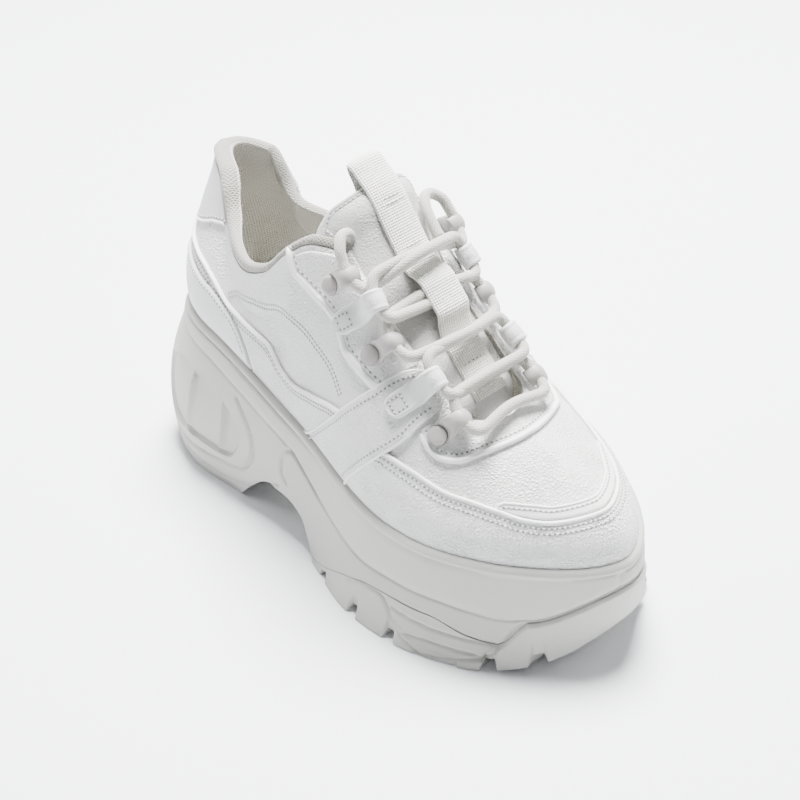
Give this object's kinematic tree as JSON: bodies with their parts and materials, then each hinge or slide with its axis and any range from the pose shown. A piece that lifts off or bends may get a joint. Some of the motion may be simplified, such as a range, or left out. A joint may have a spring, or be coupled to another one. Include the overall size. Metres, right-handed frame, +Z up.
{
  "type": "platform sneaker",
  "caption": "Right platform sneaker: hollow leather upper with overlays, padded collar, tongue with pull loop, lace through hooks and loops, tall moulded sole with arch and lugs.",
  "frame": {"origin": "middle of the sole's box on the ground", "axes": "+X towards the toe, +Y towards the inner (medial) side, +Z up"},
  "size_m": [0.2846, 0.1322, 0.1821],
  "materials": {
    "white_leather": "grained, satin",
    "sole_rubber": "matte",
    "lining_mesh": "matte",
    "woven_tape": "ribbed",
    "lace_cord": "woven",
    "painted_hook": "satin"
  },
  "bodies": {
    "root": {"midsole": "sole_rubber", "outsole": "sole_rubber", "insole": "lining_mesh", "upper": "white_leather", "tongue": "white_leather", "tongue_tape": "woven_tape", "heel_tab": "white_leather", "heel_counter": "white_leather", "wave_overlay": "white_leather", "mudguard": "white_leather", "toe_crescent": "white_leather", "throat_overlay": "white_leather", "eyestay_lateral": "white_leather", "eyestay_medial": "white_leather", "strap_lateral": "white_leather", "strap_medial": "white_leather", "lace_hook_lateral_1": "painted_hook", "lace_hook_lateral_3": "painted_hook", "lace_hook_lateral_5": "painted_hook", "lace_loop_lateral_2": "white_leather", "lace_loop_lateral_4": "white_leather", "lace_end_lateral": "lace_cord", "lace_hook_medial_1": "painted_hook", "lace_hook_medial_3": "painted_hook", "lace_hook_medial_5": "painted_hook", "lace_loop_medial_2": "white_leather", "lace_loop_medial_4": "white_leather", "lace_end_medial": "lace_cord", "lace_bar": "lace_cord", "lace_crossing_1": "lace_cord", "lace_crossing_2": "lace_cord", "lace_crossing_3": "lace_cord", "lace_crossing_4": "lace_cord"}
  },
  "joints": []
}
